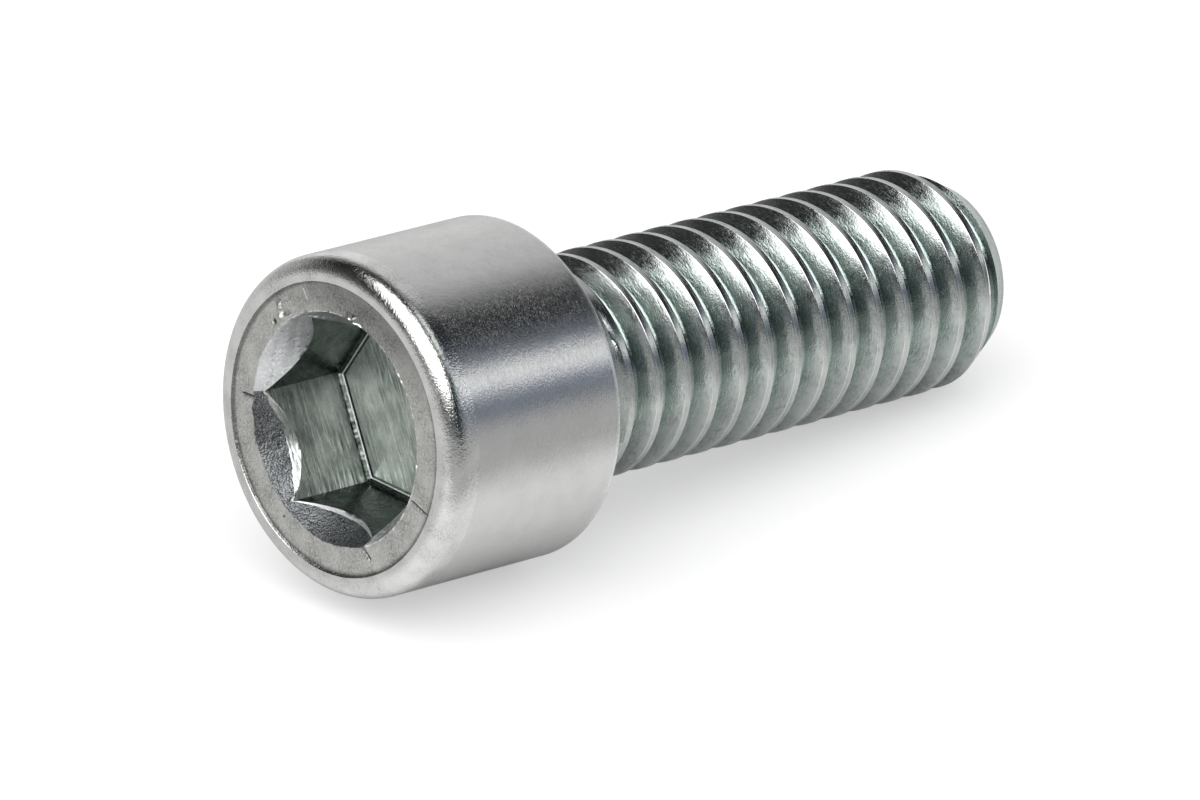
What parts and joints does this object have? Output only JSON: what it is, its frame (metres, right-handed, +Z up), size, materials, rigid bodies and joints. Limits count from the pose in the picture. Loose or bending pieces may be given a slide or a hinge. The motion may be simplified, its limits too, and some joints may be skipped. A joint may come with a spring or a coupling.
{
  "type": "hex socket cap screw",
  "caption": "Zinc-plated steel cap screw with a plain round head, a hexagonal socket and a right-hand thread up to the head.",
  "frame": {"origin": "on the surface that the screw lies on, under the middle of its bounding box", "axes": "+X from the head towards the point, level; +Z up; +Y to the left when looking along +X. The screw's own axis dips 5.99 degrees below +X, because it lies on the rim of its head and on the two crests nearest its point."},
  "size_m": [0.0356, 0.0142, 0.015],
  "materials": {
    "zinc_plate": "bright zinc plate, short fine scratches round the head, duller and greener in the socket and the thread"
  },
  "bodies": {
    "root": {"cap_screw": "zinc_plate"}
  },
  "joints": []
}
